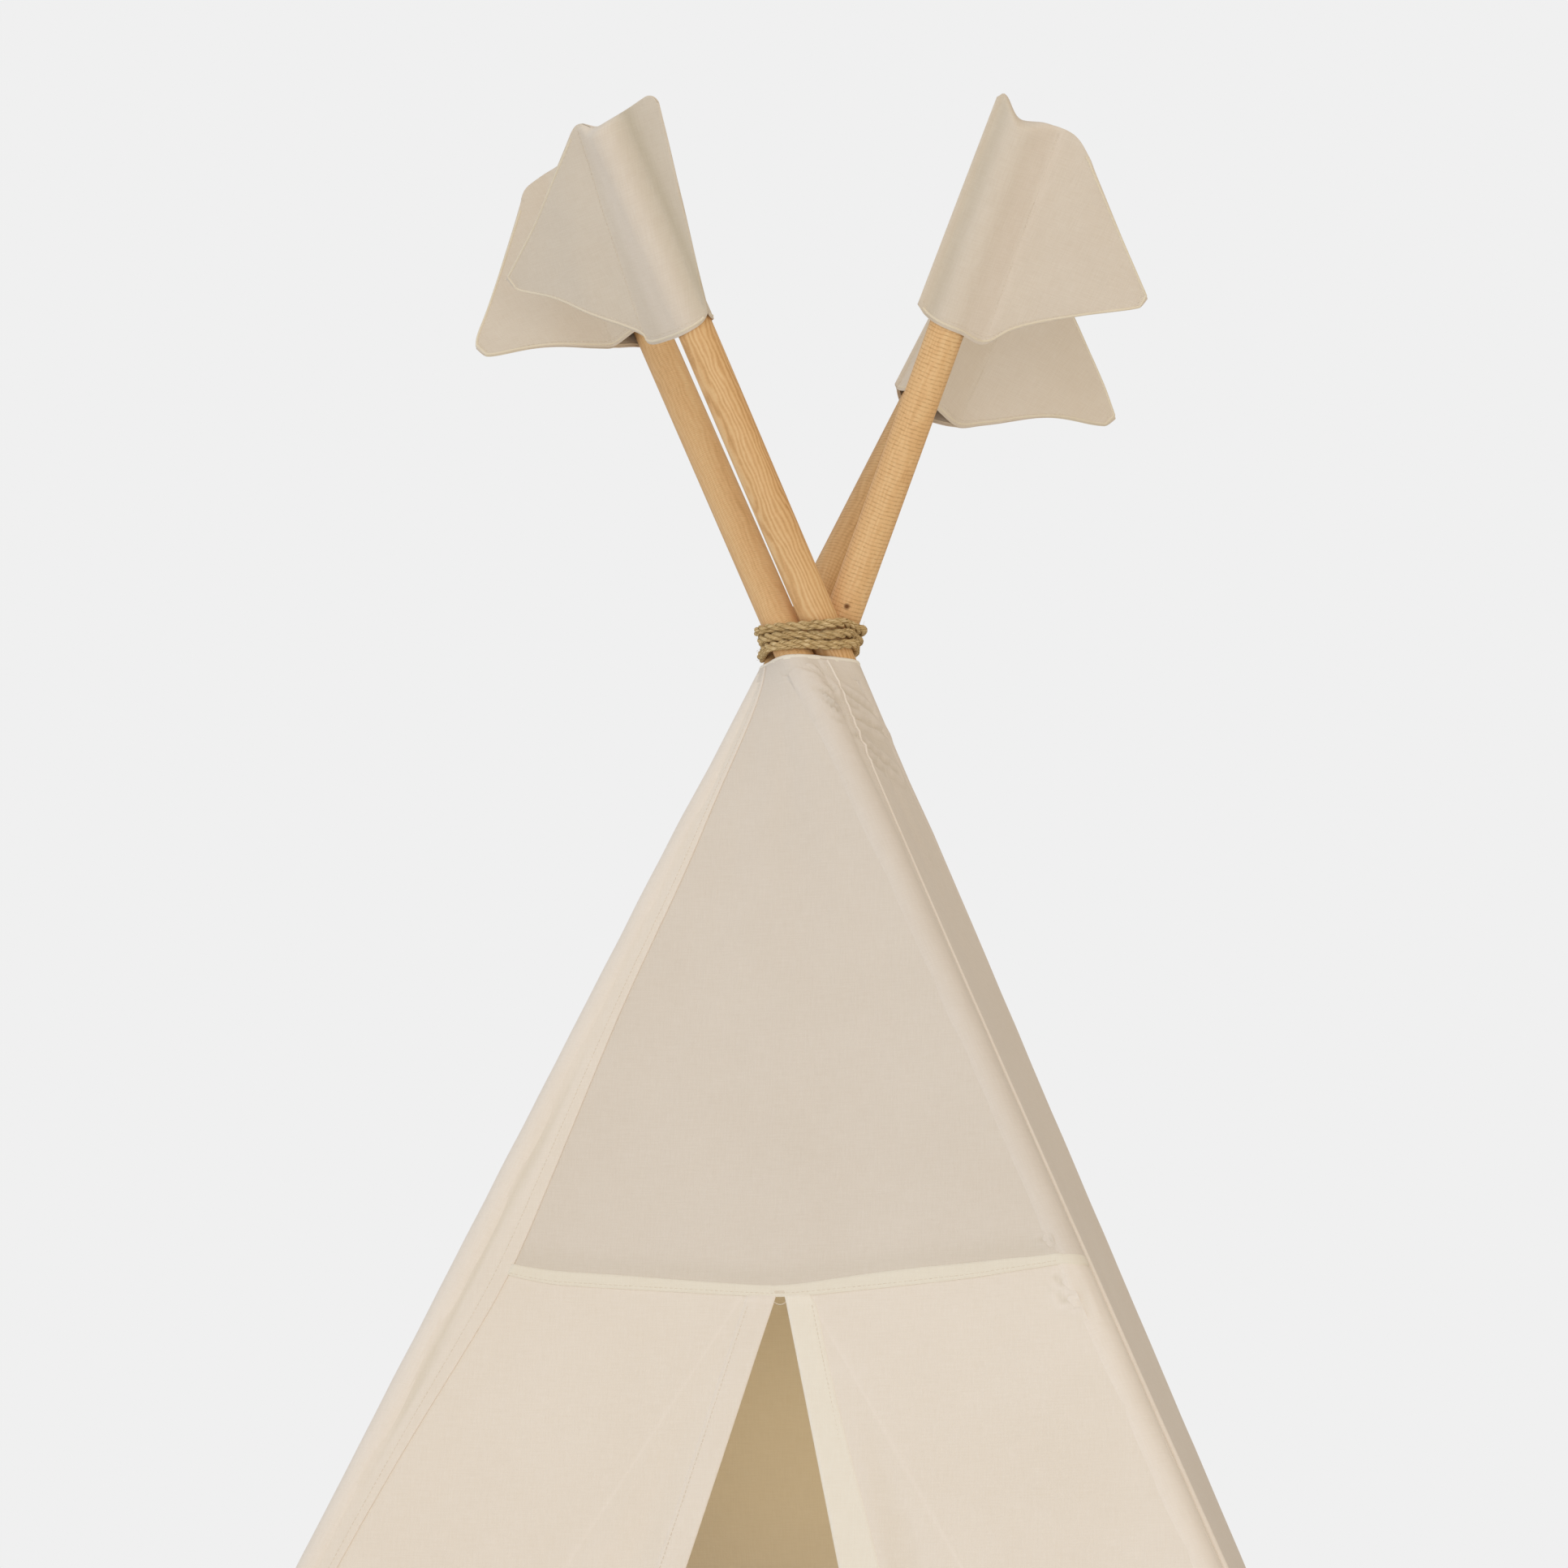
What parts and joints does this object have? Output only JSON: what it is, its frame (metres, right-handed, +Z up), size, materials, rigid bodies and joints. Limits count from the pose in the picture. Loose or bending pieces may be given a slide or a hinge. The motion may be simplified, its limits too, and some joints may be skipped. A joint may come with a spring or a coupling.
{
  "type": "kids teepee",
  "caption": "Children's play teepee: wooden poles lashed with rope, canvas cover with an open door slit, and a small flag on each pole tip.",
  "frame": {"origin": "middle of the footprint, on the floor", "axes": "+Z up, the door faces -Y"},
  "size_m": [1.0856, 1.0863, 1.6503],
  "materials": {
    "wood": "clear matt pine, fine crosswise flecks",
    "steel": "thin rolled tube",
    "canvas": "undyed cotton canvas, matt plain weave",
    "flag_canvas": "undyed cotton canvas, doubled",
    "rope": "twisted jute"
  },
  "bodies": {
    "lashing": {"rope_lashing": "rope", "cover_collar": "canvas"},
    "pole_front_left": {"pole_front_left_lower": "wood", "pole_front_left_upper": "wood", "ferrule_front_left": "steel", "sleeve_front_left": "canvas"},
    "pole_front_right": {"pole_front_right_lower": "wood", "pole_front_right_upper": "wood", "ferrule_front_right": "steel", "sleeve_front_right": "canvas"},
    "pole_back_right": {"pole_back_right_lower": "wood", "pole_back_right_upper": "wood", "ferrule_back_right": "steel", "sleeve_back_right": "canvas"},
    "pole_back_left": {"pole_back_left_lower": "wood", "pole_back_left_upper": "wood", "ferrule_back_left": "steel", "sleeve_back_left": "canvas"},
    "wall_front": {"front_panel": "canvas", "door_header": "canvas", "door_side_left": "canvas", "door_side_right": "canvas", "door_bar_tack": "canvas"},
    "wall_right": {"right_panel": "canvas", "right_bottom_hem": "canvas"},
    "wall_back": {"back_panel": "canvas", "back_bottom_hem": "canvas"},
    "wall_left": {"left_panel": "canvas", "left_bottom_hem": "canvas"},
    "flap_left": {"door_flap_left": "canvas", "door_hem_left": "canvas"},
    "flap_right": {"door_flap_right": "canvas", "door_hem_right": "canvas"},
    "flag_front_left": {"flag_front_left": "flag_canvas"},
    "flag_front_right": {"flag_front_right": "flag_canvas"},
    "flag_back_right": {"flag_back_right": "flag_canvas"},
    "flag_back_left": {"flag_back_left": "flag_canvas"}
  },
  "joints": [
    {"name": "fold_front_left", "type": "hinge", "parent": "lashing", "child": "pole_front_left", "pos_m": [-0.01365, 0.01365, 1.25], "axis": [0.7071, -0.7071, 0], "range_deg": [0, 26.5], "deforming": ["rope_lashing", "cover_collar", "front_panel", "door_header", "door_side_left", "door_side_right", "door_bar_tack", "right_panel", "right_bottom_hem", "back_panel", "back_bottom_hem", "left_panel", "left_bottom_hem", "door_flap_left", "door_hem_left", "door_flap_right", "door_hem_right", "flag_front_left", "flag_front_right", "flag_back_right", "flag_back_left"]},
    {"name": "fold_front_right", "type": "hinge", "parent": "lashing", "child": "pole_front_right", "pos_m": [-0.01365, -0.01365, 1.25], "axis": [0.7071, 0.7071, 0], "range_deg": [0, 26.5]},
    {"name": "fold_back_right", "type": "hinge", "parent": "lashing", "child": "pole_back_right", "pos_m": [0.01365, -0.01365, 1.25], "axis": [-0.7071, 0.7071, 0], "range_deg": [0, 26.5]},
    {"name": "fold_back_left", "type": "hinge", "parent": "lashing", "child": "pole_back_left", "pos_m": [0.01365, 0.01365, 1.25], "axis": [-0.7071, -0.7071, 0], "range_deg": [0, 26.5]},
    {"name": "fold_wall_front", "type": "hinge", "parent": "lashing", "child": "wall_front", "pos_m": [0, 0, 1.25], "axis": [1, 0, 0], "range_deg": [0, 20]},
    {"name": "fold_wall_right", "type": "hinge", "parent": "lashing", "child": "wall_right", "pos_m": [0, 0, 1.25], "axis": [0, 1, 0], "range_deg": [0, 20]},
    {"name": "fold_wall_back", "type": "hinge", "parent": "lashing", "child": "wall_back", "pos_m": [0, 0, 1.25], "axis": [-1, 0, 0], "range_deg": [0, 20]},
    {"name": "fold_wall_left", "type": "hinge", "parent": "lashing", "child": "wall_left", "pos_m": [0, 0, 1.25], "axis": [0, -1, 0], "range_deg": [0, 20]},
    {"name": "open_flap_left", "type": "hinge", "parent": "wall_front", "child": "flap_left", "pos_m": [-0.49005, -0.54149, 0], "axis": [-0.479, -0.3468, -0.8064], "range_deg": [0, 150]},
    {"name": "open_flap_right", "type": "hinge", "parent": "wall_front", "child": "flap_right", "pos_m": [0.49001, -0.54138, 0], "axis": [-0.479, 0.3448, 0.8073], "range_deg": [0, 150]},
    {"name": "slip_flag_front_left", "type": "slide", "parent": "pole_front_left", "child": "flag_front_left", "axis": [0.3527, 0.3715, 0.8588], "range_m": [0, 0.16]},
    {"name": "slip_flag_front_right", "type": "slide", "parent": "pole_front_right", "child": "flag_front_right", "axis": [-0.3715, 0.3527, 0.8588], "range_m": [0, 0.16]},
    {"name": "slip_flag_back_right", "type": "slide", "parent": "pole_back_right", "child": "flag_back_right", "axis": [-0.3527, -0.3715, 0.8588], "range_m": [0, 0.16]},
    {"name": "slip_flag_back_left", "type": "slide", "parent": "pole_back_left", "child": "flag_back_left", "axis": [0.3715, -0.3527, 0.8588], "range_m": [0, 0.16]}
  ],
  "couplings": [
    {"joint": "fold_front_right", "follows": "fold_front_left", "ratio": 1},
    {"joint": "fold_back_right", "follows": "fold_front_left", "ratio": 1},
    {"joint": "fold_back_left", "follows": "fold_front_left", "ratio": 1},
    {"joint": "fold_wall_front", "follows": "fold_front_left", "ratio": 0.747},
    {"joint": "fold_wall_right", "follows": "fold_front_left", "ratio": 0.747},
    {"joint": "fold_wall_back", "follows": "fold_front_left", "ratio": 0.747},
    {"joint": "fold_wall_left", "follows": "fold_front_left", "ratio": 0.747}
  ]
}
